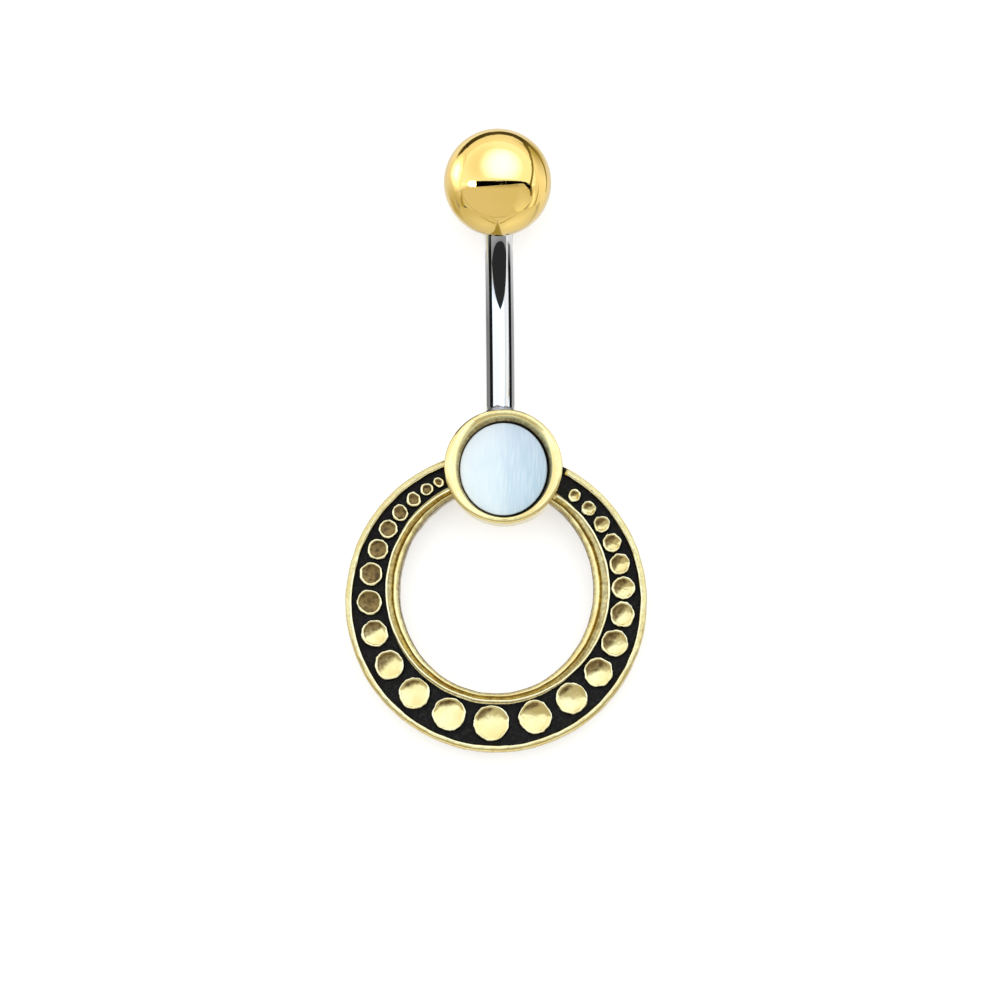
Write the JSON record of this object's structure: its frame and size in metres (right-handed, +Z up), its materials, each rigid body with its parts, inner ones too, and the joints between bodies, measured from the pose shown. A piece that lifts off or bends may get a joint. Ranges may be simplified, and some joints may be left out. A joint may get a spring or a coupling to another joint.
{
  "type": "belly button ring",
  "caption": "Navel barbell with a screw-on ball, a curved bar, a round setting that holds a pearly shell disc, and an open hoop edged with raised dots.",
  "frame": {"origin": "on the surface that the ring lies on, under the middle of its length and width", "axes": "+X across the hoop, +Y along the ring from the hoop to the ball, +Z up out of the face"},
  "size_m": [0.0172, 0.0356, 0.0062],
  "materials": {
    "antique_gold": "polished pale gold plate over a cast hoop and setting, with a black oxidised channel",
    "pale_shell": "polished flat disc of pale blue mother of pearl",
    "polished_steel": "mirror polished surgical steel",
    "polished_gold": "mirror polished yellow gold plate over steel"
  },
  "bodies": {
    "ring": {"hoop_and_setting": "antique_gold", "shell_disc": "pale_shell", "curved_bar": "polished_steel"},
    "ball": {"top_ball": "polished_gold"}
  },
  "joints": [
    {"name": "ball_unscrew", "type": "slide", "parent": "ring", "child": "ball", "axis": [-0.0449, 0.9188, 0.3921], "range_m": [0, 0.0036]}
  ]
}
